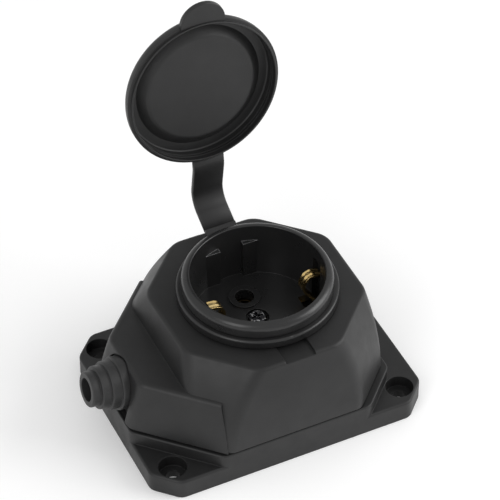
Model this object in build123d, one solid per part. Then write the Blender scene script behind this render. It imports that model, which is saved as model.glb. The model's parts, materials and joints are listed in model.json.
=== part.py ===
from build123d import *
import math
import os

# Surface-mounted socket outlet with a flip cap, in millimetres.
# The origin is the centre of the base's back face and +Z points out of the wall.
# X runs along the base's long side with the cable entry at -X, and the cap's strap is at +Y.

# Base plate
base_length = 94.4
base_width = 71.4
corner_chamfer = 7.4
corner_radius = 4.0
pad_height = 7.0
platform_rise = 4.6
floor_thickness = 4.0
wall = 3.0
base_edge_radius = 0.8
hole_inset_x = 7.6
hole_inset_y = 7.4
hole_diameter = 4.5
head_pocket_diameter = 9.0
head_pocket_depth = 4.2
back_pocket_length = 14.0
back_pocket_width = 34.0
back_pocket_pitch = 17.0
back_pocket_count = 3
back_pocket_depth = 1.2

# Eight-sided foot of the housing: its right side's distance from the base's edge,
# and how much of each corner its diagonals cut off
right_flange = 10.4
left_corner_cut = 16.52
right_corner_cut = 10.27
seam_gap = 0.6
seam_gap_depth = 0.7
seal_inset = 1.2
seal_width = 1.5
seal_height = 1.2

# The base's platform stands out past the foot by these ledges
right_ledge = 1.6
left_diagonal_ledge = 0.9
right_diagonal_ledge = 2.3
platform_edge_radius = 0.5

# Housing, whose sides lean in ever more from the foot to the top's margins round the socket's flange
housing_height = 40.0
body_left_inset = 14.0
left_margin = 4.6
right_margin = 4.0
side_margin = 4.5
left_diagonal_margin = 5.4
right_diagonal_margin = 4.5
low_corner_radius = 4.0
top_corner_radius = 8.0
top_edge_radius = 1.3
top_thickness = 3.6
section_count = 5
notch_width = 10.2
notch_depth = 0.8
notch_offset = 0.5
pillar_inset_x = 12.3
pillar_inset_y = 11.2
pillar_radius = 4.0
pillar_drop = 2.3
pillar_foot_gap = 0.3

# Cable bay at the housing's left, which stands out past the body's diagonals by a step
bay_cover = 0.75
bay_step = 0.6
bay_left_lean = 4.2
bay_diagonal_lean = 3.6
bay_depth = 23.2
bay_root = 10.0
bay_corner_radius = 5.0
bay_edge_radius = 1.8
bay_roof_thickness = 2.0

# Socket body
socket_x = 3.1
mouth_radius = 20.9
recess_depth = 19.7
recess_draft = 0.3
lip_rise = 8.2
lip_width = 3.0
lip_overhang = 0.6
lip_clearance = 0.2
lip_inner_edge = 1.5
lip_outer_edge = 1.0
collar_clearance = 0.3
flange_width = 3.9
flange_thickness = 3.1
floor_depth = 3.0
skirt_depth = 5.0
skirt_wall = 1.6
pin_spacing = 19.0
pin_hole_diameter = 6.2
pin_ring_diameter = 10.0
pin_ring_height = 0.8
rib_depth = 2.2
rib_gap = 8.0
rib_drop = 5.8
screw_recess_diameter = 7.6
screw_recess_depth = 1.4
ear_radius = 3.5
ear_inset = 1.2

# Earth contact, a bent strip with a spring clip at each end
strip_thickness = 0.8
strip_width = 3.4
eye_radius = 3.4
strip_gap = 2.3
clip_foot_inset = 0.9
clip_nose_inset = 5.1
clip_nose_drop = 12.0
clip_top_inset = 0.2
clip_top_drop = 6.8
clip_bend = 1.8
clip_nose_bend = 3.0
left_clip_in = 3.8
left_clip_up = 1.5
groove_clearance = 0.9
groove_inset = 5.5
groove_reach = 1.5
groove_drop = 4.2

# Contact carrier, pin contacts and terminals
carrier_clearance = 0.2
carrier_height = 9.8
sleeve_outer = 3.1
sleeve_inner = 2.5
sleeve_gap = 0.5
sleeve_slot = 0.8
sleeve_slot_depth = 7.0
tail_thickness = 1.0
tail_width = 5.0
terminal_inset = 8.5
terminal_size = 7.0
terminal_height = 9.2
terminal_row = 9.5
wire_bore_radius = 1.6
wire_bore_rise = 6.0
pocket_clearance = 0.3

# Screws
thread_clearance = 0.1
pass_clearance = 0.3
cross_width = 0.8
centre_screw_radius = 1.5
centre_screw_margin = 2.0
centre_head_radius = 3.1
centre_head_height = 2.0
insert_screw_radius = 1.3
insert_screw_length = 5.8
insert_head_radius = 2.3
insert_head_height = 2.0
housing_screw_radius = 1.3
housing_screw_length = 14.0
housing_head_radius = 2.8
housing_head_height = 1.8
housing_head_pocket = 2.0
terminal_screw_radius = 1.45
terminal_screw_length = 4.0
terminal_head_radius = 2.4
terminal_head_height = 2.0
clamp_screw_radius = 1.4
clamp_screw_length = 12.0
clamp_head_radius = 2.6
clamp_head_height = 2.0

# Cap, its ring and its strap
ring_clearance = 0.2
ring_width = 2.1
ring_height = 3.2
ring_edge_radius = 0.7
ring_foot_chamfer = 0.4
rim_gap = 0.4
cap_clearance = 0.3
cap_rim_width = 0.7
cap_wall = 1.4
cap_flare_height = 1.9
cap_depth = 4.8
cap_plate = 1.6
cap_back_radius = 4.2
plug_clearance = 0.6
plug_slope = 1.7
plug_depth = 1.5
plug_edge_radius = 1.6
rim_edge_radius = 0.25
moat_radius = 1.5
groove_count = 2
groove_pitch = 1.6
groove_depth = 0.25
tab_width = 14.8
tab_length = 6.4
tab_thickness = 1.8
tab_lift = 0.3
tab_lean = 8.0
tab_turn = 3.0
tab_edge_radius = 0.4
hinge_reach = 14.6
hinge_rise = 8.1
open_angle = 97.5
strap_width = 10.6
strap_thickness = 1.8
strap_root_depth = 0.6
strap_knee_reach = 12.3
strap_knee_rise = 6.2
strap_neck_length = 3.5
strap_lift = 2.2
strap_knee_radius = 7.0
strap_neck_radius = 9.0
strap_stub = 2.0

# Cable grommet, square to the bay's leaning wall, and the clamp behind it
grommet_tilt = 8.0
grommet_foot_gap = 0.1
grommet_inset = 3.6
grommet_bore = 3.8
grommet_steps = ((5.7, 2.8), (6.9, 3.0), (7.8, 3.2))
grommet_flange_radius = 8.55
grommet_flange_thickness = 3.4
grommet_neck_radius = 5.4
grommet_neck_length = 3.4
grommet_inner_radius = 6.6
grommet_inner_thickness = 2.0
grommet_edge_radius = 0.5
grommet_clearance = 0.2
seat_clearance = 0.5
clamp_gap = 1.4
clamp_length = 7.0
clamp_post_y = 9.5
clamp_drop = 0.8
clamp_bar_height = 5.6
cable_radius = 4.2

half_length = base_length / 2
half_width = base_width / 2
root_two = math.sqrt(2)
seam_height = pad_height + platform_rise
housing_start = seam_height + seam_gap
seam_right = half_length - right_flange
seam_left_diagonal = (half_length + half_width) / root_two - left_corner_cut
seam_right_diagonal = (seam_right + half_width) / root_two - right_corner_cut
body_left = half_length - body_left_inset
bay_end = half_length - bay_depth
top_underside = housing_height - top_thickness
flange_underside = top_underside - flange_thickness
pillar_top = flange_underside - pillar_drop

lip_top = housing_height + lip_rise
lip_radius = mouth_radius + lip_width
collar_radius = lip_radius - lip_overhang
flange_radius = collar_radius + flange_width
skirt_inner = collar_radius - skirt_wall
carrier_radius = skirt_inner - carrier_clearance
terminal_x = carrier_radius - terminal_inset
recess_floor = lip_top - recess_depth
floor_underside = recess_floor - floor_depth
strip_height = floor_underside - strip_gap
strip_underside = strip_height - strip_thickness / 2
strip_top = strip_height + strip_thickness / 2
carrier_bottom = strip_underside - carrier_height
wire_bore_z = carrier_bottom + wire_bore_rise

ring_inner = collar_radius + ring_clearance
ring_radius = ring_inner + ring_width
ring_top = housing_height + ring_height
rim_z = ring_top + rim_gap
cap_inner_radius = lip_radius + cap_clearance
cap_outer_radius = cap_inner_radius + cap_wall
plug_radius = mouth_radius - plug_clearance
hinge_y = ring_radius + hinge_reach
hinge_z = rim_z + hinge_rise

left_lean = body_left - (flange_radius + left_margin - socket_x)
right_lean = seam_right - (flange_radius + right_margin + socket_x)
side_lean = half_width - (flange_radius + side_margin)
left_diagonal_top = flange_radius + left_diagonal_margin - socket_x / root_two
right_diagonal_top = flange_radius + right_diagonal_margin + socket_x / root_two
left_diagonal_lean = seam_left_diagonal - bay_step - left_diagonal_top
right_diagonal_lean = seam_right_diagonal - right_diagonal_top

grommet_seat = half_length - grommet_inset
grommet_z = seam_height + grommet_flange_radius + grommet_foot_gap
bay_roof = grommet_z + grommet_flange_radius + bay_cover
grommet_place = Pos(-grommet_seat, 0, grommet_z) * Rot(0, grommet_tilt, 0)
clamp_x = grommet_seat - grommet_neck_length - grommet_inner_thickness - clamp_gap - clamp_length / 2
clamp_axis_z = grommet_z - clamp_drop

ear_distance = flange_radius - ear_inset
ear_places = [Pos(socket_x, 0) * Rot(0, 0, 45 + 90 * turn) * Pos(ear_distance, 0) for turn in range(4)]
pillar_places = GridLocations(2 * (seam_right - pillar_inset_x), 2 * (half_width - pillar_inset_y), 2, 2)
hole_places = GridLocations(base_length - 2 * hole_inset_x, base_width - 2 * hole_inset_y, 2, 2)
clamp_places = [Pos(-clamp_x, side * clamp_post_y) for side in (-1, 1)]
terminal_places = [Pos(socket_x - terminal_x, side * terminal_row) for side in (-1, 0, 1)]


def rounded_outline(points, radius):
    """A flat face with the given corners, all rounded."""
    outline = make_face(Polyline(*points, close=True))
    return fillet(outline.vertices(), radius)


def eight_sides(left, right, side, left_diagonal, right_diagonal):
    """Corners of an eight-sided outline from its sides' distances to the origin."""
    left_run = left_diagonal * root_two
    right_run = right_diagonal * root_two
    front = [
        (-left, left - left_run),
        (side - left_run, -side),
        (right_run - side, -side),
        (right, right - right_run),
    ]
    return front + [(x, -y) for x, y in reversed(front)]


def seam_outline(inset):
    """The outline of the housing's foot, pulled in by an inset."""
    points = eight_sides(
        half_length - inset,
        seam_right - inset,
        half_width - inset,
        seam_left_diagonal - inset,
        seam_right_diagonal - inset,
    )
    return rounded_outline(points, low_corner_radius - inset / 2)


def body_outline(share, inset):
    """The housing body's outline at a share of its height."""
    lean = share**2
    points = eight_sides(
        body_left - left_lean * lean - inset,
        seam_right - right_lean * lean - inset,
        half_width - side_lean * lean - inset,
        seam_left_diagonal - bay_step - left_diagonal_lean * lean - inset,
        seam_right_diagonal - right_diagonal_lean * lean - inset,
    )
    radius = low_corner_radius + (top_corner_radius - low_corner_radius) * share
    return rounded_outline(points, radius - inset / 2)


def heights(bottom, top):
    """Evenly spaced section heights."""
    return [bottom + (top - bottom) * step / (section_count - 1) for step in range(section_count)]


def body_form(bottom, top, inset):
    """Loft of the housing's body between two heights."""
    sections = []
    for height in heights(bottom, top):
        share = max(0.0, (height - housing_start) / (housing_height - housing_start))
        sections.append(Pos(0, 0, height) * body_outline(share, inset))
    return loft(sections)


def bay_outline(share, inset):
    """Outline of the cable bay at a share of its height, its ends turned square into the body."""
    left = half_length - bay_left_lean * share - inset
    run = (seam_left_diagonal - bay_diagonal_lean * share**1.5 - inset) * root_two
    front = [
        (-left, left - run),
        (-bay_end, bay_end - run),
        (bay_root - bay_end, bay_root + bay_end - run),
    ]
    outline = make_face(Polyline(*front, *[(x, -y) for x, y in reversed(front)], close=True))
    return fillet(outline.vertices().sort_by(Axis.X)[:2], bay_corner_radius)


def bay_form(bottom, roof, inset):
    """The cable bay, flush with the housing's foot and leaning in to its roof."""
    sections = []
    for height in heights(bottom, roof):
        share = max(0.0, (height - housing_start) / (bay_roof - housing_start))
        sections.append(Pos(0, 0, height) * bay_outline(share, inset))
    return loft(sections)


def drum(radius, bottom, top):
    """An upright cylinder on the socket's axis."""
    return Pos(socket_x, 0, bottom) * extrude(Circle(radius), top - bottom)


def turned(points):
    """A solid of revolution about the socket's axis, from radius and height pairs."""
    profile = Plane.XZ * make_face(Polyline(*points, close=True))
    return Pos(socket_x, 0, 0) * revolve(profile, Axis.Z)


def cross_screw(radius, length, head_radius, head_height):
    """A pan-head screw with a cross recess, its head's seat at the origin and its shank down."""
    shank = Pos(0, 0, -length) * extrude(Circle(radius), length)
    head = extrude(Circle(head_radius), head_height)
    head = fillet(head.edges().sort_by(Axis.Z)[-1], head_height * 0.45)
    depth = head_height * 0.6
    slot = Pos(0, 0, head_height - depth / 2) * Box(head_radius * 1.2, cross_width, depth)
    return shank + head - slot - Rot(0, 0, 90) * slot


def open_pose(shape):
    """Moves a piece of the cap from its closed place to the open one."""
    hinge = Axis((socket_x, hinge_y, hinge_z), (1, 0, 0))
    return shape.rotate(hinge, -open_angle)


def base_plate():
    plate = Rectangle(base_length, base_width)
    plate = chamfer(plate.vertices(), corner_chamfer)
    plate = fillet(plate.vertices(), corner_radius)
    base = extrude(plate, pad_height)
    base = fillet(base.edges().group_by(Axis.Z)[-1], base_edge_radius)
    base += platform()
    base -= Pos(0, 0, floor_thickness) * extrude(seam_outline(wall), seam_height)
    seal_seat = seam_outline(seal_inset) - seam_outline(seal_inset + seal_width)
    base -= Pos(0, 0, seam_height - seal_height) * extrude(seal_seat, seal_height)
    pocket_floor = pad_height - head_pocket_depth
    base -= hole_places * extrude(Circle(hole_diameter / 2), pad_height)
    base -= hole_places * (Pos(0, 0, pocket_floor) * extrude(Circle(head_pocket_diameter / 2), pad_height))
    base -= pillar_places * extrude(Circle(housing_head_radius + pass_clearance), housing_head_pocket)
    base -= pillar_places * extrude(Circle(housing_screw_radius + pass_clearance), floor_thickness)
    back_pocket = RectangleRounded(back_pocket_length, back_pocket_width, corner_radius)
    base -= GridLocations(back_pocket_pitch, 0, back_pocket_count, 1) * extrude(back_pocket, back_pocket_depth)
    saddle = Rectangle(clamp_length, 2 * clamp_post_y) + clamp_ends()
    saddle = extrude(Pos(-clamp_x, 0) * saddle, clamp_axis_z - floor_thickness)
    base += Pos(0, 0, floor_thickness) * saddle
    base -= cable_channel()
    pilot = Circle(clamp_screw_radius + thread_clearance)
    for place in clamp_places:
        base -= Pos(0, 0, clamp_axis_z - clamp_screw_length) * place * extrude(pilot, clamp_screw_length)
    return base


def platform():
    """The raised part of the base that the housing sits on."""
    points = eight_sides(
        half_length,
        seam_right + right_ledge,
        half_width,
        seam_left_diagonal + left_diagonal_ledge,
        seam_right_diagonal + right_diagonal_ledge,
    )
    outline = rounded_outline(points, corner_radius)
    block = Pos(0, 0, base_edge_radius) * extrude(outline, seam_height - base_edge_radius)
    return fillet(block.faces().sort_by(Axis.Z)[-1].edges(), platform_edge_radius)


def clamp_ends():
    """Rounded ends of the clamp's outline, about its own centre."""
    return Sketch() + [Pos(0, side * clamp_post_y) * Circle(clamp_length / 2) for side in (-1, 1)]


def cable_channel():
    """The round channel for the cable between the saddle and the clamp."""
    return Pos(-clamp_x, 0, clamp_axis_z) * Rot(0, 90, 0) * Cylinder(cable_radius, 2 * clamp_length)


def base_seal():
    loop = seam_outline(seal_inset) - seam_outline(seal_inset + seal_width)
    return Pos(0, 0, seam_height - seal_height) * extrude(loop, seal_height)


def grommet_slot(radius, start, end):
    """A slot along the grommet's axis, round above it and open towards the housing's foot."""
    outline = Circle(radius) + Rectangle(2 * grommet_z, 2 * radius, align=(Align.MIN, Align.CENTER))
    return grommet_place * (Pos(start, 0, 0) * Rot(0, 90, 0) * extrude(outline, end - start))


def housing():
    body = body_form(housing_start, housing_height, 0)
    body = fillet(body.faces().sort_by(Axis.Z)[-1].edges(), top_edge_radius)
    bay = bay_form(housing_start, bay_roof, 0)
    roof_edges = bay.faces().sort_by(Axis.Z)[-1].edges().sort_by(Axis.X)[:5]
    bay = fillet(roof_edges, bay_edge_radius)
    shell = body + bay
    shell += Pos(0, 0, seam_height) * extrude(seam_outline(seam_gap_depth), seam_gap)
    shell -= body_form(seam_height, top_underside, wall)
    shell -= bay_form(seam_height, bay_roof - bay_roof_thickness, wall)
    pillar = Pos(0, 0, floor_thickness) * extrude(Circle(pillar_radius), pillar_top - floor_thickness)
    pillars = Part() + pillar_places * pillar
    outer_limit = body_form(housing_start, housing_height, wall / 2)
    pillar_feet = extrude(seam_outline(wall + pillar_foot_gap), housing_start)
    shell += pillars & (outer_limit + pillar_feet)
    pilot_depth = housing_screw_length - floor_thickness + housing_head_pocket
    pilot = extrude(Circle(housing_screw_radius + thread_clearance), pilot_depth)
    shell -= pillar_places * (Pos(0, 0, floor_thickness) * pilot)
    shell -= drum(collar_radius + collar_clearance, top_underside - 1, housing_height + 1)
    insert_pilot = extrude(Circle(insert_screw_radius + thread_clearance), insert_screw_length - flange_thickness)
    for place in ear_places:
        shell -= Pos(0, 0, top_underside) * place * insert_pilot
    notch_reach = half_width - collar_radius
    notch = Box(notch_width, notch_reach, 2 * notch_depth)
    for side in (-1, 1):
        notch_y = side * (collar_radius + notch_reach / 2)
        shell -= Pos(socket_x - notch_offset, notch_y, housing_height) * notch
    seat_radius = grommet_flange_radius + seat_clearance
    boss = grommet_slot(seat_radius, 0, grommet_neck_length)
    shell += boss & bay_form(housing_start, bay_roof, wall / 2)
    shell -= grommet_slot(seat_radius, -bay_depth, 0)
    entry = Rot(0, 90, 0) * extrude(Circle(grommet_neck_radius + grommet_clearance), grommet_neck_length)
    shell -= grommet_place * entry
    return shell


def socket_body():
    floor_radius = mouth_radius - recess_draft
    lip_foot = ring_top + lip_clearance
    body = turned(
        [
            (mouth_radius, lip_top),
            (lip_radius, lip_top),
            (lip_radius, lip_foot),
            (collar_radius, lip_foot),
            (collar_radius, top_underside),
            (flange_radius, top_underside),
            (flange_radius, flange_underside),
            (collar_radius, flange_underside),
            (collar_radius, floor_underside - skirt_depth),
            (skirt_inner, floor_underside - skirt_depth),
            (skirt_inner, floor_underside),
            (0, floor_underside),
            (0, recess_floor),
            (floor_radius, recess_floor),
        ]
    )
    top_edges = body.edges().group_by(Axis.Z)[-1].sort_by(SortBy.LENGTH)
    body = fillet(top_edges[0], lip_inner_edge)
    body = fillet(body.edges().group_by(Axis.Z)[-1].sort_by(SortBy.LENGTH)[-1], lip_outer_edge)
    for place in ear_places:
        body += Pos(0, 0, flange_underside) * place * extrude(Circle(ear_radius), flange_thickness)
        hole = extrude(Circle(insert_screw_radius + pass_clearance), flange_thickness)
        body -= Pos(0, 0, flange_underside) * place * hole
    rib_length = mouth_radius - rib_gap / 2
    rib_top = lip_top - rib_drop
    rib_back = (mouth_radius + collar_radius) / 2
    rib = Box(rib_length, rib_back, rib_top - recess_floor, align=(Align.MIN, Align.MIN, Align.MIN))
    rib = Pos(rib_gap / 2, mouth_radius - rib_depth, recess_floor) * rib
    ribs = rib + mirror(rib, Plane.YZ)
    ribs += mirror(ribs, Plane.XZ)
    body += Pos(socket_x, 0) * ribs & drum(rib_back, recess_floor, rib_top)
    body += drum(screw_recess_diameter / 2, strip_top, floor_underside)
    groove_inner = mouth_radius - groove_inset
    groove_outer = mouth_radius + groove_reach
    groove_width = strip_width + 2 * groove_clearance
    groove_height = lip_top - groove_drop - floor_underside
    groove = Box(groove_outer - groove_inner, groove_width, groove_height)
    for side in (-1, 1):
        pin = Pos(socket_x, side * pin_spacing / 2, floor_underside)
        body += pin * extrude(Circle(pin_ring_diameter / 2), floor_depth + pin_ring_height)
        body -= pin * extrude(Circle(pin_hole_diameter / 2), recess_depth)
        groove_x = socket_x + side * (groove_outer + groove_inner) / 2
        body -= Pos(groove_x, 0, floor_underside + groove_height / 2) * groove
    body -= drum(screw_recess_diameter / 2, recess_floor - screw_recess_depth, recess_floor)
    body -= drum(centre_screw_radius + pass_clearance, strip_top, recess_floor)
    return body


def clip_side(inward, upward):
    """Corners of one half of the earth strip, with its clip's nose and top moved in and up."""
    foot = mouth_radius - clip_foot_inset
    nose = mouth_radius - clip_nose_inset - inward
    top = mouth_radius - clip_top_inset - inward
    return [
        (foot, strip_height),
        (foot, recess_floor),
        (nose, lip_top - clip_nose_drop + upward),
        (top, lip_top - clip_top_drop + upward),
    ]


def earth_contact():
    left = [(-x, z) for x, z in reversed(clip_side(left_clip_in, left_clip_up))]
    bends = [clip_nose_bend, clip_bend, clip_bend]
    path = FilletPolyline(*left, *clip_side(0, 0), radius=bends + bends[::-1])
    strip = extrude(Plane.XZ * trace(path, strip_thickness), strip_width / 2, both=True)
    strip = Pos(socket_x, 0, 0) * strip
    strip += drum(eye_radius, strip_underside, strip_top)
    return strip - drum(centre_screw_radius + pass_clearance, strip_underside, strip_top)


def contact_carrier():
    carrier = drum(carrier_radius, carrier_bottom, strip_underside)
    carrier -= drum(centre_screw_radius + thread_clearance, carrier_bottom, strip_underside)
    pocket_size = terminal_size + 2 * pocket_clearance
    for place in terminal_places:
        pocket = Box(carrier_radius, pocket_size, carrier_height, align=(Align.MAX, Align.CENTER, Align.MIN))
        carrier -= Pos(pocket_size / 2, 0, carrier_bottom) * place * pocket
    for side in (-1, 1):
        sleeve = Pos(socket_x, side * pin_spacing / 2, carrier_bottom)
        carrier -= sleeve * extrude(Circle(sleeve_outer + pocket_clearance), carrier_height)
        slot_size = (terminal_x, tail_width + 2 * pocket_clearance, tail_thickness + pocket_clearance)
        slot = Box(*slot_size, align=(Align.MAX, Align.CENTER, Align.MIN))
        carrier -= sleeve * slot
    return carrier


def pin_contact(side):
    """One slotted sleeve for a pin, with the tail that its terminal clamps."""
    place = Pos(socket_x, side * pin_spacing / 2, carrier_bottom)
    sleeve_height = floor_underside - sleeve_gap - carrier_bottom
    sleeve = extrude(Circle(sleeve_outer) - Circle(sleeve_inner), sleeve_height)
    slot = Box(2 * sleeve_outer + 1, sleeve_slot, sleeve_slot_depth, align=(Align.CENTER, Align.CENTER, Align.MAX))
    slot = Pos(0, 0, sleeve_height) * slot
    tail_length = terminal_x + terminal_size / 2
    tail = Box(tail_length, tail_width, tail_thickness, align=(Align.MAX, Align.CENTER, Align.MIN))
    tail -= Pos(-terminal_x, 0) * extrude(Circle(terminal_screw_radius + pass_clearance), tail_thickness)
    tail -= extrude(Circle(sleeve_inner), tail_thickness)
    return place * (sleeve - slot + tail)


def terminal_block(index, bottom, top):
    """A brass block with a bore for the wire and a threaded hole for its screw."""
    block = Box(terminal_size, terminal_size, top - bottom, align=(Align.CENTER, Align.CENTER, Align.MIN))
    block = chamfer(block.edges().filter_by(Axis.Z), pocket_clearance)
    bore = Rot(0, 90, 0) * Cylinder(wire_bore_radius, terminal_size)
    block -= Pos(0, 0, wire_bore_z - bottom) * bore
    block -= extrude(Circle(terminal_screw_radius + thread_clearance), wire_bore_z - bottom)
    return Pos(0, 0, bottom) * terminal_places[index] * block


def centre_screw():
    seat = recess_floor - screw_recess_depth
    length = seat - carrier_bottom - centre_screw_margin
    screw = cross_screw(centre_screw_radius, length, centre_head_radius, centre_head_height)
    return Pos(socket_x, 0, seat) * screw


def screw_group(places, height, screw):
    """Equal screws as one group of separate solids."""
    return Compound(children=[Pos(0, 0, height) * place * screw for place in places])


def insert_screws():
    screw = cross_screw(insert_screw_radius, insert_screw_length, insert_head_radius, insert_head_height)
    return screw_group(ear_places, flange_underside, Rot(180, 0, 0) * screw)


def housing_screws():
    screw = cross_screw(housing_screw_radius, housing_screw_length, housing_head_radius, housing_head_height)
    return screw_group(pillar_places, housing_head_pocket, Rot(180, 0, 0) * screw)


def terminal_screws():
    screw = cross_screw(terminal_screw_radius, terminal_screw_length, terminal_head_radius, terminal_head_height)
    return screw_group(terminal_places, carrier_bottom, Rot(180, 0, 0) * screw)


def clamp_screws():
    screw = cross_screw(clamp_screw_radius, clamp_screw_length, clamp_head_radius, clamp_head_height)
    return screw_group(clamp_places, clamp_axis_z + clamp_bar_height, screw)


def cable_clamp():
    outline = Rectangle(clamp_length, 2 * clamp_post_y) + clamp_ends()
    bar = Pos(-clamp_x, 0, clamp_axis_z) * extrude(outline, clamp_bar_height)
    bar -= cable_channel()
    hole = extrude(Circle(clamp_screw_radius + pass_clearance), clamp_bar_height)
    for place in clamp_places:
        bar -= Pos(0, 0, clamp_axis_z) * place * hole
    return bar


def cable_grommet():
    """A stepped rubber sleeve whose neck snaps into the housing's wall."""
    x = -grommet_flange_thickness - sum(length for _, length in grommet_steps)
    crests = []
    profile = [(x, grommet_bore)]
    for radius, length in grommet_steps:
        crests.append((x, radius))
        profile += [(x, radius), (x + length, radius)]
        x += length
    crests.append((x, grommet_flange_radius))
    inner_end = grommet_neck_length + grommet_inner_thickness
    profile += [
        (x, grommet_flange_radius),
        (0, grommet_flange_radius),
        (0, grommet_neck_radius),
        (grommet_neck_length, grommet_neck_radius),
        (grommet_neck_length, grommet_inner_radius),
        (inner_end, grommet_inner_radius),
        (inner_end, grommet_bore),
    ]
    section = make_face(Polyline(*profile, close=True))
    corners = [section.vertices().sort_by_distance((*crest, 0))[0] for crest in crests]
    section = fillet(corners, grommet_edge_radius)
    return grommet_place * revolve(Plane.XZ * section, Axis.X)


def cap_ring():
    ring = turned([(ring_inner, housing_height), (ring_radius, housing_height), (ring_radius, ring_top), (ring_inner, ring_top)])
    outer_edges = ring.edges().filter_by(GeomType.CIRCLE).sort_by(SortBy.LENGTH)[-2:]
    upper = outer_edges.sort_by(Axis.Z)[-1]
    ring = fillet(upper, ring_edge_radius)
    foot = ring.edges().filter_by(GeomType.CIRCLE).sort_by(SortBy.LENGTH)[-2:].sort_by(Axis.Z)[0]
    ring = chamfer(foot, ring_foot_chamfer)
    root = strap_band() & strap_region(-half_width)
    return ring + (root - drum(ring_radius - ring_width / 2, housing_height, hinge_z))


def cap_blank():
    """The cap's closed outer form, with a narrow rim that flares out to the back."""
    top = rim_z + cap_depth + cap_plate
    rim_radius = cap_inner_radius + cap_rim_width
    blank = turned(
        [
            (0, rim_z),
            (rim_radius, rim_z),
            (cap_outer_radius, rim_z + cap_flare_height),
            (cap_outer_radius, top),
            (0, top),
        ]
    )
    return fillet(blank.edges().group_by(Axis.Z)[-1], cap_back_radius)


def cap():
    ceiling = rim_z + cap_depth
    plug_face = ceiling - plug_depth
    hollow = turned(
        [
            (0, rim_z),
            (cap_inner_radius, rim_z),
            (cap_inner_radius, ceiling),
            (plug_radius, ceiling),
            (plug_radius - plug_slope, plug_face),
            (0, plug_face),
        ]
    )
    hollow = fillet(hollow.edges().filter_by(GeomType.CIRCLE).sort_by(SortBy.LENGTH)[0], plug_edge_radius)
    hollow = fillet(hollow.edges().group_by(Axis.Z)[-1].sort_by(SortBy.LENGTH)[-1], moat_radius)
    lid = cap_blank() - hollow
    lid = fillet(lid.edges().group_by(Axis.Z)[0], rim_edge_radius)
    for step in range(groove_count):
        groove_z = rim_z + groove_pitch * (step + 1)
        groove = drum(cap_inner_radius + groove_depth, groove_z, groove_z + groove_pitch / 2)
        lid -= groove - drum(cap_inner_radius - groove_depth, groove_z, groove_z + groove_pitch / 2)
    tab_round = cap_outer_radius + tab_length - tab_width / 2
    tab = Pos(0, -tab_round) * Circle(tab_width / 2)
    tab += Pos(0, -tab_round) * Rectangle(tab_width, tab_round, align=(Align.CENTER, Align.MIN))
    tab = extrude(tab, tab_thickness)
    tab = fillet(tab.edges().group_by(Axis.Z)[-1], tab_edge_radius)
    lean = Pos(0, -cap_outer_radius) * Rot(tab_lean, 0, 0) * Pos(0, cap_outer_radius)
    tab = Pos(socket_x, 0, rim_z + tab_lift) * Rot(0, 0, tab_turn) * lean * tab
    lid += tab - drum(cap_inner_radius + cap_rim_width / 2, rim_z - cap_depth, rim_z + 2 * cap_depth)
    return open_pose(lid)


def strap_point(reach):
    """Where a point of the strap at the closed cap's height comes to lie when the cap opens."""
    arm = Vector(0, reach - hinge_y, rim_z + strap_lift - hinge_z)
    arm = arm.rotate(Axis.X, -open_angle)
    return (hinge_y + arm.Y, hinge_z + arm.Z)


def strap_band():
    """The whole bent band from the ring to the cap."""
    path = FilletPolyline(
        (ring_radius - strap_root_depth, ring_top - strap_root_depth),
        (ring_radius + strap_knee_reach, ring_top + strap_knee_rise),
        strap_point(cap_outer_radius + strap_neck_length),
        strap_point(cap_inner_radius),
        radius=[strap_knee_radius, strap_neck_radius],
    )
    band = extrude(Plane.YZ * trace(path, strap_thickness), strap_width / 2, both=True)
    return Pos(socket_x, 0, 0) * band


def strap_region(depth):
    """Everything from the strap's split plane to a depth towards +Y."""
    block = Box(2 * strap_width, abs(depth), 2 * housing_height)
    return Pos(socket_x, ring_radius + strap_stub + depth / 2, housing_height) * block


def cap_strap():
    return strap_band() & strap_region(half_width) - open_pose(cap_blank())


def make_parts():
    """Every node's name with its solid."""
    line, earth, neutral = range(3)
    tail_top = carrier_bottom + tail_thickness
    terminal_top = carrier_bottom + terminal_height
    return {
        "base_plate": base_plate(),
        "base_seal": base_seal(),
        "housing": housing(),
        "housing_screws": housing_screws(),
        "socket_body": socket_body(),
        "insert_screws": insert_screws(),
        "contact_carrier": contact_carrier(),
        "line_contact": pin_contact(-1),
        "neutral_contact": pin_contact(1),
        "earth_contact": earth_contact(),
        "line_terminal": terminal_block(line, tail_top, terminal_top),
        "earth_terminal": terminal_block(earth, carrier_bottom, strip_underside),
        "neutral_terminal": terminal_block(neutral, tail_top, terminal_top),
        "terminal_screws": terminal_screws(),
        "centre_screw": centre_screw(),
        "cable_grommet": cable_grommet(),
        "cable_clamp": cable_clamp(),
        "clamp_screws": clamp_screws(),
        "cap_ring": cap_ring(),
        "cap_strap": cap_strap(),
        "cap": cap(),
    }


os.makedirs("parts", exist_ok=True)
for name, solid in make_parts().items():
    export_step(solid, f"parts/{name}.step")
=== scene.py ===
import json
import math

import bmesh
import bpy
from mathutils import Matrix, Vector


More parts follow.
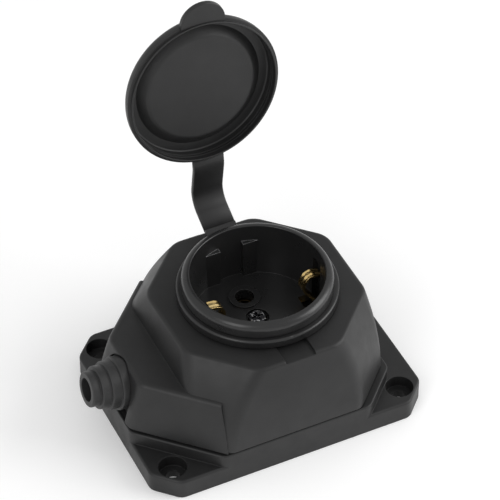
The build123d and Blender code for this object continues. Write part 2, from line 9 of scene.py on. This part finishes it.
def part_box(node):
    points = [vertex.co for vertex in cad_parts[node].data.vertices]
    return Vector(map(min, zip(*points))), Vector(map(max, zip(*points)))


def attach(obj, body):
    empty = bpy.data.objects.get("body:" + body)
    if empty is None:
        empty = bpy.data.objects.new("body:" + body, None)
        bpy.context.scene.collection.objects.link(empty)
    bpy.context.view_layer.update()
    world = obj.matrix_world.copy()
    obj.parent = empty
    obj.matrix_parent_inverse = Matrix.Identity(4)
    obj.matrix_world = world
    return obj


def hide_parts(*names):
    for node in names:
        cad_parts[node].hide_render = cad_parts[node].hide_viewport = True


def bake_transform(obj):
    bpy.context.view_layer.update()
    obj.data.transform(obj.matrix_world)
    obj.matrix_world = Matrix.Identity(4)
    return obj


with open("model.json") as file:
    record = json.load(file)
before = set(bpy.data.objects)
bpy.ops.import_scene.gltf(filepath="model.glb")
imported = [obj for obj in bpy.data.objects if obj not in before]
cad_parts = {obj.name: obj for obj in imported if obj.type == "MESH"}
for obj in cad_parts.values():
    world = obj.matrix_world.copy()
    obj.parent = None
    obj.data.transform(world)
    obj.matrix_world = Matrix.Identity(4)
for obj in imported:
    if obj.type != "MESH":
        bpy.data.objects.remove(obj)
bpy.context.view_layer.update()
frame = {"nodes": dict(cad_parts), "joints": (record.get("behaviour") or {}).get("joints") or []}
nodes = frame["nodes"]
scene = bpy.context.scene
MM = 0.001

# The strap in millimetres: its width across X is the CAD strap's, and its path is in Y and Z, from inside
# the ring's stub over the knee and the neck into the cap's wall.
strap_low, strap_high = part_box("cap_strap")
SOCKET_X = (strap_low[0] + strap_high[0]) / 2 / MM
STRAP_WIDTH = (strap_high[0] - strap_low[0]) / MM
STRAP_THICKNESS = 1.8
STRAP_ROUNDING = 0.55
STRAP_PATH = [(27.3, 43.81), (37.9, 49.4), (35.8, 63.47), (36.3, 67.3)]
STRAP_BENDS = [7.0, 9.0]

# The earth strip in millimetres: its path is in X, from the socket's axis, and Z. Each half runs from the
# foot under the recess floor over the nose and the top of its clip to the clip's tip. The bends are those of
# the top, the nose and the foot's two corners.
STRIP_WIDTH = 3.4
STRIP_THICKNESS = 0.8
STRIP_RIDGES = 2
STRIP_RIDGE_DEPTH = 0.14
STRIP_FOOT = [(20.0, 23.2), (20.0, 28.5)]
RIGHT_CLIP = [(14.6, 35.7), (17.9, 40.8), (21.6, 38.8)]
LEFT_CLIP = [(10.8, 35.7), (13.6, 40.0), (17.0, 40.5)]
CLIP_BENDS = [3.0, 4.0, 1.8, 1.8]
EYE_RADIUS = 3.4
EYE_HOLE_RADIUS = 1.8

# The socket's lip in millimetres: its top and radii are the CAD lip's. Each edge has the radius that it has
# in the CAD and the one that it gets here, and the mouth's edge also moves out by the flare.
LIP_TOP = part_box("socket_body")[1][2] / MM
MOUTH_RADIUS = 20.9
MOUTH_EDGE = (1.5, 0.4)
MOUTH_FLARE = 0.35
LIP_RADIUS = 23.9
LIP_EDGE = (1.0, 2.2)
LIP_SLACK = 0.02

# The cap in millimetres, in its closed place: heights are above its rim's plane, which lies below the
# hinge, and radii are from the socket's axis. The wall's grooves have two heights each, and the tab's
# layers a height and an inset.
hinge = next(joint for joint in frame["joints"] if joint["name"] == "cap_hinge")
cap_low, cap_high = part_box("cap")
HINGE_PLACE = Vector(hinge["pos_m"])
HINGE_RISE = 8.1
OPEN_ANGLE = math.radians(hinge["range_deg"][1])
CAP_RADIUS = (cap_high[0] - cap_low[0]) / 2 / MM
CAP_RIM_Z = HINGE_PLACE.z / MM - HINGE_RISE
CAP_HEIGHT = 6.4
CAP_BACK_ROUNDING = 4.2
CAP_INNER_RADIUS = 24.05
CAP_DEPTH = 5.6
CAP_EDGE = 0.25
RIM_RADIUS = 24.6
RIM_ROUNDING = 0.2
RIM_STEP = 1.0
RIM_STEP_ROUNDING = 0.05
RIM_LEAN = 1.15
MOAT_ROUNDING = 0.6
PLUG_FACE = 3.3
PLUG_EDGE = 17.9
PLUG_FOOT = 20.9
PLUG_ROUNDING = 2.4
WALL_GROOVES = [(3.4, 2.9), (2.2, 1.7)]
WALL_GROOVE_DEPTH = 0.2
WALL_GROOVE_ROUNDING = 0.05
TAB_HALF_WIDTH = 7.4
TAB_LENGTH = 6.4
TAB_ROOT_RADIUS = 24.5
TAB_LIFT = 0.3
TAB_LAYERS = [(0.0, 0.15), (0.15, 0.0), (1.4, 0.0), (1.7, 0.12), (1.8, 0.4)]
TAB_LEAN = math.radians(8.0)
TAB_TURN = math.radians(3.0)

# Edges of shaped pieces that bend by more than this stay sharp
SHARP_ANGLE = math.radians(40)

# What the materials share: noise scales per metre, and heights and radii of relief in metres
BEVEL_SAMPLES = 6
BLUE_TINT = 1.015
DRIFT_SCALE = 70.0
SHEEN_SCALE = 190.0
SWELL_SCALE = 120.0
SWELL_STRENGTH = 0.1
SWELL_HEIGHT = 0.0006
GRAIN_HEIGHT = 0.00008
METAL_SHEEN_SCALE = 500.0
METAL_LINE_STRENGTH = 0.05
METAL_LINE_HEIGHT = 0.00004
METAL_EDGE = 0.00015

# The painted highlight lines along sharp upward plastic edges, paler where light would catch them: their
# reach in metres, the cosines of the normal's bend between which they fade, and the heights in metres
# between which they grow from their least share to full
EDGE_HIGHLIGHT_RADIUS = 0.0002
EDGE_HIGHLIGHT_BENT = 0.85
EDGE_HIGHLIGHT_FLAT = 0.97
EDGE_HIGHLIGHT_LOW = 0.032
EDGE_HIGHLIGHT_HIGH = 0.041
EDGE_HIGHLIGHT_LEAST = 0.2

# The stage: lengths in metres, colours and strengths of light
FLOOR_REACH = 4.0
FLOOR_DROP = 0.0002
FLOOR_MOTTLE_SCALE = 3.0
FLOOR_DARK = (0.93, 0.93, 0.93, 1)
FLOOR_LIGHT = (0.95, 0.95, 0.95, 1)
FLOOR_GLOW = 0.13
SURROUND_STRENGTH = 0.66
LIGHT_TARGET = Vector((0, 0, 0.04))

# The photograph's camera: its angles round the part, its distance and shifts in metres from the point that
# it was fitted about, and its focal length in pixels of the square picture
CAMERA_AZIMUTH = math.radians(-25.563)
CAMERA_ELEVATION = math.radians(43.628)
CAMERA_TARGET = Vector((0, 0, 0.025))
CAMERA_DISTANCE = 0.89009
CAMERA_SHIFT_RIGHT = 0.000439
CAMERA_SHIFT_UP = 0.024651
CAMERA_REACH = 20.0
SENSOR_WIDTH = 36.0
FOCAL_PIXELS = 2815.95
PICTURE_PIXELS = 500


def new_material(name):
    """A node material with its tree and shader."""
    material = bpy.data.materials.new(name)
    material.use_nodes = True
    tree = material.node_tree
    shader = tree.nodes["Principled BSDF"]
    return material, tree, shader


def noise(tree, scale, detail, roughness=0.55, stretch=(1, 1, 1)):
    """A noise texture in the object's own coordinates, which may be stretched along an axis."""
    place = tree.nodes.new("ShaderNodeTexCoord")
    mapping = tree.nodes.new("ShaderNodeMapping")
    mapping.inputs["Scale"].default_value = stretch
    texture = tree.nodes.new("ShaderNodeTexNoise")
    texture.inputs["Scale"].default_value = scale
    texture.inputs["Detail"].default_value = detail
    texture.inputs["Roughness"].default_value = roughness
    tree.links.new(place.outputs["Object"], mapping.inputs["Vector"])
    tree.links.new(mapping.outputs["Vector"], texture.inputs["Vector"])
    return texture


def ramp(tree, source, low, high, start=0.3, end=0.7):
    """A colour ramp with two stops, fed by a value."""
    node = tree.nodes.new("ShaderNodeValToRGB")
    node.color_ramp.elements[0].position = start
    node.color_ramp.elements[1].position = end
    node.color_ramp.elements[0].color = low
    node.color_ramp.elements[1].color = high
    tree.links.new(source, node.inputs["Fac"])
    return node


def grey(value):
    """A grey with a faint blue tint."""
    return (value, value, value * BLUE_TINT, 1.0)


def soft_normal(tree, radius):
    """The surface's normal, with sharp edges softened over a radius."""
    bevel = tree.nodes.new("ShaderNodeBevel")
    bevel.samples = BEVEL_SAMPLES
    bevel.inputs["Radius"].default_value = radius
    return bevel.outputs["Normal"]


def upright_part(tree, vector):
    """A vector's part along Z."""
    parts = tree.nodes.new("ShaderNodeSeparateXYZ")
    tree.links.new(vector, parts.inputs["Vector"])
    return parts.outputs["Z"]


def add_bump(tree, shader, edge, layers):
    """Softens sharp edges and chains bump layers, each a texture output with its strength and height."""
    normal = soft_normal(tree, edge)
    for source, strength, height in layers:
        bump = tree.nodes.new("ShaderNodeBump")
        bump.inputs["Strength"].default_value = strength
        bump.inputs["Distance"].default_value = height
        tree.links.new(source, bump.inputs["Height"])
        tree.links.new(normal, bump.inputs["Normal"])
        normal = bump.outputs["Normal"]
    tree.links.new(normal, shader.inputs["Normal"])


def edge_highlight_share(tree, normal):
    """How strong the painted highlight on an edge is: the more the edge faces up and the higher it lies, the
    stronger.
    """
    place = tree.nodes.new("ShaderNodeTexCoord")
    reach = tree.nodes.new("ShaderNodeMapRange")
    reach.inputs["From Min"].default_value = EDGE_HIGHLIGHT_LOW
    reach.inputs["From Max"].default_value = EDGE_HIGHLIGHT_HIGH
    reach.inputs["To Min"].default_value = EDGE_HIGHLIGHT_LEAST
    tree.links.new(upright_part(tree, place.outputs["Object"]), reach.inputs["Value"])
    share = tree.nodes.new("ShaderNodeMath")
    share.operation = "MULTIPLY"
    share.use_clamp = True
    tree.links.new(upright_part(tree, normal), share.inputs[0])
    tree.links.new(reach.outputs["Result"], share.inputs[1])
    return share.outputs["Value"]


def add_painted_edge_highlight(tree, colour, shade):
    """Adds a painted highlight, a paler line, to a colour along sharp upward edges."""
    normal = soft_normal(tree, EDGE_HIGHLIGHT_RADIUS)
    geometry = tree.nodes.new("ShaderNodeNewGeometry")
    bend = tree.nodes.new("ShaderNodeVectorMath")
    bend.operation = "DOT_PRODUCT"
    tree.links.new(normal, bend.inputs[0])
    tree.links.new(geometry.outputs["Normal"], bend.inputs[1])
    line = ramp(tree, bend.outputs["Value"], grey(shade), grey(0.0), EDGE_HIGHLIGHT_BENT, EDGE_HIGHLIGHT_FLAT)
    scaled = tree.nodes.new("ShaderNodeVectorMath")
    scaled.operation = "SCALE"
    tree.links.new(line.outputs["Color"], scaled.inputs["Vector"])
    tree.links.new(edge_highlight_share(tree, normal), scaled.inputs["Scale"])
    total = tree.nodes.new("ShaderNodeVectorMath")
    total.operation = "ADD"
    tree.links.new(colour, total.inputs[0])
    tree.links.new(scaled.outputs["Vector"], total.inputs[1])
    return total.outputs["Vector"]


def moulded(name, shades, roughness, grain, strength, specular=0.5, edge=0.0004, highlight_shade=0.0):
    """Moulded rubber or plastic: faint colour drift, uneven sheen, a fine spark-eroded grain and, where a
    highlight shade is given, a painted highlight along sharp upward edges."""
    material, tree, shader = new_material(name)
    drift = noise(tree, DRIFT_SCALE, detail=5.0)
    colour = ramp(tree, drift.outputs["Fac"], grey(shades[0]), grey(shades[1])).outputs["Color"]
    if highlight_shade:
        colour = add_painted_edge_highlight(tree, colour, highlight_shade)
    tree.links.new(colour, shader.inputs["Base Color"])
    patch = noise(tree, SHEEN_SCALE, detail=3.0)
    sheen = ramp(tree, patch.outputs["Fac"], grey(roughness[0]), grey(roughness[1]))
    tree.links.new(sheen.outputs["Color"], shader.inputs["Roughness"])
    swell = noise(tree, SWELL_SCALE, detail=2.0, roughness=0.5)
    fine = noise(tree, grain, detail=2.0, roughness=0.6)
    layers = [
        (swell.outputs["Fac"], SWELL_STRENGTH, SWELL_HEIGHT),
        (fine.outputs["Fac"], strength, GRAIN_HEIGHT),
    ]
    add_bump(tree, shader, edge, layers)
    shader.inputs["Specular IOR Level"].default_value = specular
    return material


def metal(name, dark, light, roughness, grain, stretch=(1, 1, 1), spots=260.0, stops=(0.3, 0.7)):
    """Pressed or plated metal with fine drawn lines and spots of tarnish or wear."""
    material, tree, shader = new_material(name)
    tarnish = noise(tree, spots, detail=5.0, stretch=stretch)
    colour = ramp(tree, tarnish.outputs["Fac"], dark, light, *stops)
    tree.links.new(colour.outputs["Color"], shader.inputs["Base Color"])
    patch = noise(tree, METAL_SHEEN_SCALE, detail=3.0, stretch=stretch)
    sheen = ramp(tree, patch.outputs["Fac"], grey(roughness[0]), grey(roughness[1]))
    tree.links.new(sheen.outputs["Color"], shader.inputs["Roughness"])
    lines = noise(tree, grain, detail=2.0, stretch=stretch)
    layers = [(lines.outputs["Fac"], METAL_LINE_STRENGTH, METAL_LINE_HEIGHT)]
    add_bump(tree, shader, METAL_EDGE, layers)
    shader.inputs["Metallic"].default_value = 1.0
    return material


housing_rubber = moulded(
    "housing_rubber",
    shades=(0.009, 0.013),
    roughness=(0.42, 0.52),
    grain=2600.0,
    strength=0.22,
    specular=0.43,
)
base_rubber = moulded(
    "base_rubber",
    shades=(0.009, 0.013),
    roughness=(0.44, 0.54),
    grain=2600.0,
    strength=0.24,
    specular=0.43,
)
cap_rubber = moulded(
    "cap_rubber",
    shades=(0.010, 0.014),
    roughness=(0.42, 0.52),
    grain=2200.0,
    strength=0.18,
    specular=0.44,
    edge=0.0001,
)
ring_rubber = moulded(
    "ring_rubber", shades=(0.010, 0.014), roughness=(0.28, 0.36), grain=2200.0, strength=0.12, edge=0.0002
)
grommet_rubber = moulded(
    "grommet_rubber", shades=(0.016, 0.021), roughness=(0.46, 0.56), grain=2400.0, strength=0.2
)
# The insert's plastic gets a painted highlight, paler lines along its sharp upward edges
insert_plastic = moulded(
    "insert_plastic",
    shades=(0.012, 0.016),
    roughness=(0.26, 0.34),
    grain=3000.0,
    strength=0.12,
    edge=0.00012,
    highlight_shade=0.4,
)
# This plastic is painted darker than its own colour: painted shade for the slots that the contact carrier is
# seen through; the cable clamp shares it
carrier_plastic_painted_shade = moulded(
    "carrier_plastic_painted_shade", shades=(0.03, 0.045), roughness=(0.45, 0.55), grain=2400.0, strength=0.15
)
seal_rubber = moulded("seal_rubber", shades=(0.008, 0.011), roughness=(0.6, 0.7), grain=2400.0, strength=0.2)
contact_brass = metal(
    "contact_brass",
    dark=(0.78, 0.52, 0.18, 1),
    light=(0.98, 0.78, 0.40, 1),
    roughness=(0.16, 0.3),
    grain=1800.0,
    stretch=(0.15, 2.0, 0.15),
)
# The sleeves' brass is painted nearly black: painted shade for the dark inside of the pin holes
sleeve_brass_painted_shade = metal(
    "sleeve_brass_painted_shade",
    dark=(0.05, 0.036, 0.018, 1),
    light=(0.12, 0.085, 0.04, 1),
    roughness=(0.4, 0.55),
    grain=3200.0,
)
terminal_brass = metal(
    "terminal_brass",
    dark=(0.70, 0.50, 0.18, 1),
    light=(0.86, 0.68, 0.33, 1),
    roughness=(0.16, 0.28),
    grain=3200.0,
)
screw_steel = metal(
    "screw_steel",
    dark=(0.46, 0.46, 0.47, 1),
    light=(0.66, 0.66, 0.67, 1),
    roughness=(0.2, 0.34),
    grain=3600.0,
)
screw_black = metal(
    "screw_black",
    dark=(0.05, 0.05, 0.055, 1),
    light=(0.85, 0.85, 0.86, 1),
    roughness=(0.3, 0.42),
    grain=3600.0,
    spots=1500.0,
    stops=(0.54, 0.62),
)

# The materials of the CAD nodes that show as they are, and of socket_body, whose copy keeps its own
DRESS = {
    housing_rubber: ["housing"],
    base_rubber: ["base_plate"],
    ring_rubber: ["cap_ring"],
    grommet_rubber: ["cable_grommet"],
    insert_plastic: ["socket_body"],
    carrier_plastic_painted_shade: ["contact_carrier", "cable_clamp"],
    seal_rubber: ["base_seal"],
    sleeve_brass_painted_shade: ["line_contact", "neutral_contact"],
    terminal_brass: ["line_terminal", "neutral_terminal", "earth_terminal"],
    screw_steel: ["housing_screws", "insert_screws", "terminal_screws", "clamp_screws"],
    screw_black: ["centre_screw"],
}
for material, names in DRESS.items():
    for name in names:
        mesh = nodes[name].data
        mesh.materials.clear()
        mesh.materials.append(material)


def rounded_path(points, bends, steps=10):
    """Points along a flat path whose inner corners are round."""
    corners = [Vector(point) for point in points]
    path = [corners[0]]
    for before, corner, after, radius in zip(corners, corners[1:], corners[2:], bends):
        back = (before - corner).normalized()
        ahead = (after - corner).normalized()
        half = back.angle(ahead) / 2
        reach = radius / math.tan(half)
        middle = corner + (back + ahead).normalized() * radius / math.sin(half)
        first = corner + back * reach - middle
        turn = math.copysign(math.pi - 2 * half, first.cross(corner + ahead * reach - middle))
        for step in range(steps + 1):
            path.append(middle + Matrix.Rotation(turn * step / steps, 2) @ first)
    path.append(corners[-1])
    return path


def add_object(name, bm, material=None):
    """An object in the scene, made from a bmesh that is used up."""
    mesh = bpy.data.meshes.new(name)
    bm.to_mesh(mesh)
    bm.free()
    if material:
        mesh.materials.append(material)
    thing = bpy.data.objects.new(name, mesh)
    scene.collection.objects.link(thing)
    return thing


def add_body(name, bm, material=None):
    """A closed body with its faces turned outward and smooth shading."""
    bmesh.ops.recalc_face_normals(bm, faces=bm.faces)
    body = add_object(name, bm, material)
    body.data.shade_smooth()
    return body


def join_rings(bm, rings):
    """The faces between each ring of points and the next."""
    for low, high in zip(rings, rings[1:]):
        for i in range(len(low)):
            j = (i + 1) % len(low)
            bm.faces.new((low[i], low[j], high[j], high[i]))


def close_ends(bm, rings):
    """A flat face over the first and the last ring of points."""
    bm.faces.new(rings[0])
    bm.faces.new(rings[-1])


def sweep(name, path, outline, place, material):
    """A closed band whose outline follows a flat path, put in space by the given function."""
    bm = bmesh.new()
    rings = []
    for i, point in enumerate(path):
        heading = (path[min(i + 1, len(path) - 1)] - path[max(i - 1, 0)]).normalized()
        side = Vector((-heading.y, heading.x))
        rings.append([bm.verts.new(place(across, point + side * up)) for across, up in outline])
    join_rings(bm, rings)
    close_ends(bm, rings)
    return add_body(name, bm, material)


def turned(name, profile, material, segments=160):
    """A body turned about the upright axis from a half section whose ends lie on that axis."""
    bm = bmesh.new()
    rings = []
    for point in profile[1:-1]:
        ring = []
        for step in range(segments):
            angle = 2 * math.pi * step / segments
            ring.append(bm.verts.new((point.x * math.cos(angle), point.x * math.sin(angle), point.y)))
        rings.append(ring)
    join_rings(bm, rings)
    for end, ring in ((profile[0], rings[0]), (profile[-1], rings[-1])):
        middle = bm.verts.new((0, 0, end.y))
        for i in range(segments):
            bm.faces.new((middle, ring[i], ring[(i + 1) % segments]))
    return add_body(name, bm, material)


def shape(piece, steps):
    """Joins or cuts a piece with helper bodies, each given with its operation, and removes the helpers."""
    for helper, operation in steps:
        modifier = piece.modifiers.new(helper.name, "BOOLEAN")
        modifier.operation = operation
        modifier.object = helper
    shaped = piece.evaluated_get(bpy.context.evaluated_depsgraph_get())
    mesh = bpy.data.meshes.new_from_object(shaped)
    piece.modifiers.clear()
    piece.data = mesh
    for helper, operation in steps:
        bpy.data.objects.remove(helper)
    mesh.set_sharp_from_angle(angle=SHARP_ANGLE)


def strap_outline(steps=3):
    """The strap's cross-section across its width, with rounded edges."""
    flat_width = STRAP_WIDTH / 2 - STRAP_ROUNDING
    flat_height = STRAP_THICKNESS / 2 - STRAP_ROUNDING
    outline = []
    for quarter, (across, up) in enumerate(((1, 1), (-1, 1), (-1, -1), (1, -1))):
        for step in range(steps + 1):
            angle = math.pi / 2 * (quarter + step / steps)
            x = across * flat_width + STRAP_ROUNDING * math.cos(angle)
            y = up * flat_height + STRAP_ROUNDING * math.sin(angle)
            outline.append((x, y))
    return outline


def on_strap(across, point):
    """Where a point of the strap's path lies in space, with the width along X."""
    return ((SOCKET_X + across) * MM, point.x * MM, point.y * MM)


def build_strap():
    """The flexible strap between the ring and the cap, swept along its bent path."""
    path = rounded_path(STRAP_PATH, STRAP_BENDS)
    return sweep("strap", path, strap_outline(), on_strap, cap_rubber)


def strip_outline(steps=24):
    """The earth strip's cross-section, pressed with shallow ridges along its length."""
    outline = []
    for side in (1, -1):
        for step in range(steps + 1):
            across = side * STRIP_WIDTH * (0.5 - step / steps)
            ridge = math.cos(2 * math.pi * STRIP_RIDGES * across / STRIP_WIDTH)
            outline.append((across, side * STRIP_THICKNESS / 2 + STRIP_RIDGE_DEPTH * (ridge - 1) / 2))
    return outline


def on_strip(across, point):
    """Where a point of the earth strip's path lies in space, with the width along Y."""
    return ((SOCKET_X + point.x) * MM, across * MM, point.y * MM)


def disc(name, radius, height, segments=64):
    """A short upright cylinder on the socket's axis at the earth strip's height."""
    bm = bmesh.new()
    bmesh.ops.create_cone(
        bm, cap_ends=True, segments=segments, radius1=radius * MM, radius2=radius * MM, depth=height * MM
    )
    cylinder = add_object(name, bm)
    cylinder.location = (SOCKET_X * MM, 0, STRIP_FOOT[0][1] * MM)
    return cylinder


def build_earth_strip():
    """The earth strip with its two clips and the eye that the centre screw goes through."""
    right = STRIP_FOOT + RIGHT_CLIP
    left = [(-x, z) for x, z in reversed(STRIP_FOOT + LEFT_CLIP)]
    path = rounded_path(left + right, CLIP_BENDS + CLIP_BENDS[::-1])
    strip = sweep("earth_strip", path, strip_outline(), on_strip, contact_brass)
    eye = disc("eye", EYE_RADIUS, STRIP_THICKNESS)
    eye_hole = disc("eye_hole", EYE_HOLE_RADIUS, 2 * STRIP_THICKNESS)
    shape(strip, [(eye, "UNION"), (eye_hole, "DIFFERENCE")])
    return strip


def rounded_lip(radius, height):
    """Where a point of the CAD lip goes when the lip's edges change their radii and the mouth flares."""
    edges = ((MOUTH_RADIUS, 1, MOUTH_FLARE, MOUTH_EDGE), (LIP_RADIUS, -1, 0.0, LIP_EDGE))
    for wall, into_lip, flare, (old, new) in edges:
        across = (radius - wall) * into_lip - old
        up = height - LIP_TOP + old
        if across < LIP_SLACK and up > -LIP_SLACK:
            scale = new / old
            return wall + flare + into_lip * (new + across * scale), LIP_TOP - new + up * scale
    return radius, height


def build_socket():
    """The socket body, copied, with a crisp mouth edge and a soft outer shoulder on its lip."""
    mesh = nodes["socket_body"].data.copy()
    normals = [corner.vector.copy() for corner in mesh.corner_normals]
    for vertex in mesh.vertices:
        spoke = Vector((vertex.co.x / MM - SOCKET_X, vertex.co.y / MM))
        radius, height = rounded_lip(spoke.length, vertex.co.z / MM)
        spoke = spoke.normalized() * radius
        vertex.co = Vector((SOCKET_X + spoke.x, spoke.y, height)) * MM
    mesh.normals_split_custom_set(normals)
    socket = bpy.data.objects.new("socket", mesh)
    scene.collection.objects.link(socket)
    return socket


def cap_profile():
    """The cap's half section from the middle of its plug disc round the rim to the middle of its back."""
    corners = [
        (0, PLUG_FACE, 0),
        (PLUG_EDGE, PLUG_FACE, PLUG_ROUNDING),
        (PLUG_FOOT, CAP_DEPTH, CAP_EDGE),
        (CAP_INNER_RADIUS, CAP_DEPTH, MOAT_ROUNDING),
    ]
    groove_radius = CAP_INNER_RADIUS + WALL_GROOVE_DEPTH
    for top, bottom in WALL_GROOVES:
        corners += [
            (CAP_INNER_RADIUS, top, WALL_GROOVE_ROUNDING),
            (groove_radius, top, WALL_GROOVE_ROUNDING),
            (groove_radius, bottom, WALL_GROOVE_ROUNDING),
            (CAP_INNER_RADIUS, bottom, WALL_GROOVE_ROUNDING),
        ]
    corners += [
        (CAP_INNER_RADIUS, 0, RIM_ROUNDING),
        (RIM_RADIUS, 0, RIM_ROUNDING),
        (RIM_RADIUS, RIM_STEP, RIM_STEP_ROUNDING),
        (CAP_RADIUS, RIM_LEAN, CAP_EDGE),
        (CAP_RADIUS, CAP_HEIGHT, CAP_BACK_ROUNDING),
        (0, CAP_HEIGHT, 0),
    ]
    points = [(radius, height) for radius, height, bend in corners]
    return rounded_path(points, [bend for radius, height, bend in corners[1:-1]])


def tab_outline(inset, steps=48):
    """The pull tab's outline, a half round with straight sides that ends in the cap's wall."""
    half = TAB_HALF_WIDTH - inset
    middle = CAP_RADIUS + TAB_LENGTH - TAB_HALF_WIDTH
    outline = []
    for step in range(steps + 1):
        angle = math.pi * (1 + step / steps)
        outline.append((half * math.cos(angle), half * math.sin(angle) - middle))
    spread = math.asin(half / TAB_ROOT_RADIUS)
    for step in range(steps + 1):
        angle = spread * (1 - 2 * step / steps)
        outline.append((TAB_ROOT_RADIUS * math.sin(angle), -TAB_ROOT_RADIUS * math.cos(angle)))
    return outline


def build_tab():
    """The pull tab as a plate with softened edges, which leans towards the socket."""
    bm = bmesh.new()
    rings = []
    for height, inset in TAB_LAYERS:
        rings.append([bm.verts.new((x, y, height)) for x, y in tab_outline(inset)])
    join_rings(bm, rings)
    close_ends(bm, rings)
    tab = add_body("tab", bm)
    edge = Matrix.Translation((0, -CAP_RADIUS, 0))
    lean = edge @ Matrix.Rotation(TAB_LEAN, 4, "X") @ edge.inverted()
    lift = Matrix.Translation((0, 0, TAB_LIFT))
    tab.data.transform(lift @ Matrix.Rotation(TAB_TURN, 4, "Z") @ lean)
    return tab


def build_cap():
    """The flip cap, made in its closed place and turned open about its hinge."""
    lid = turned("flip_cap", cap_profile(), cap_rubber)
    shape(lid, [(build_tab(), "UNION")])
    closed = Matrix.Translation((SOCKET_X * MM, 0, CAP_RIM_Z * MM)) @ Matrix.Scale(MM, 4)
    to_hinge = Matrix.Translation(HINGE_PLACE)
    opened = to_hinge @ Matrix.Rotation(-OPEN_ANGLE, 4, "X") @ to_hinge.inverted()
    lid.data.transform(opened @ closed)
    return lid


strap = build_strap()
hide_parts("cap_strap")
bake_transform(strap)

earth_strip = build_earth_strip()
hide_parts("earth_contact")
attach(earth_strip, "outlet")

socket = build_socket()
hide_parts("socket_body")
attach(socket, "outlet")

flip_cap = build_cap()
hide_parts("cap")
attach(flip_cap, "cap")


def build_floor():
    """A pale floor with a faint mottle and a slight glow."""
    material, tree, shader = new_material("floor_pale")
    mottle = noise(tree, FLOOR_MOTTLE_SCALE, detail=2.0)
    colour = ramp(tree, mottle.outputs["Fac"], FLOOR_DARK, FLOOR_LIGHT)
    tree.links.new(colour.outputs["Color"], shader.inputs["Base Color"])
    shader.inputs["Roughness"].default_value = 0.9
    shader.inputs["Specular IOR Level"].default_value = 0.1
    shader.inputs["Emission Color"].default_value = (1, 1, 1, 1)
    shader.inputs["Emission Strength"].default_value = FLOOR_GLOW
    bm = bmesh.new()
    bmesh.ops.create_grid(bm, x_segments=1, y_segments=1, size=FLOOR_REACH)
    floor = add_object("floor", bm, material)
    floor.location.z = -FLOOR_DROP


def area_light(name, place, size, power):
    """A soft box that faces the part."""
    light = bpy.data.lights.new(name, "AREA")
    light.shape = "RECTANGLE"
    light.size = size[0]
    light.size_y = size[1]
    light.energy = power
    lamp = bpy.data.objects.new(name, light)
    scene.collection.objects.link(lamp)
    lamp.location = place
    aim = LIGHT_TARGET - Vector(place)
    lamp.rotation_euler = aim.to_track_quat("-Z", "Y").to_euler()


def build_light():
    """A bright even surround with a large soft box at the right and a smaller one at the left."""
    world = bpy.data.worlds.new("surround")
    world.use_nodes = True
    scene.world = world
    background = world.node_tree.nodes["Background"]
    background.inputs["Color"].default_value = (1, 1, 1, 1)
    background.inputs["Strength"].default_value = SURROUND_STRENGTH
    area_light("right_box", place=(0.9, -0.35, 0.55), size=(0.8, 0.8), power=7.0)
    area_light("left_box", place=(-0.8, -0.5, 0.7), size=(0.5, 0.7), power=3.0)


def build_camera():
    """The photograph's view, with the picture taken as square."""
    level = math.cos(CAMERA_ELEVATION)
    right = Vector((math.cos(CAMERA_AZIMUTH), math.sin(CAMERA_AZIMUTH), 0))
    back = Vector((right.y * level, -right.x * level, math.sin(CAMERA_ELEVATION)))
    up = back.cross(right)
    camera = bpy.data.cameras.new("camera")
    camera.sensor_width = SENSOR_WIDTH
    camera.lens = SENSOR_WIDTH * FOCAL_PIXELS / PICTURE_PIXELS
    camera.clip_end = CAMERA_REACH
    view = bpy.data.objects.new("camera", camera)
    scene.collection.objects.link(view)
    eye = CAMERA_TARGET + back * CAMERA_DISTANCE + right * CAMERA_SHIFT_RIGHT + up * CAMERA_SHIFT_UP
    turn = Matrix((right, up, back)).transposed()
    view.matrix_world = Matrix.Translation(eye) @ turn.to_4x4()
    scene.camera = view


build_floor()
build_light()
build_camera()
scene.view_settings.view_transform = "Standard"
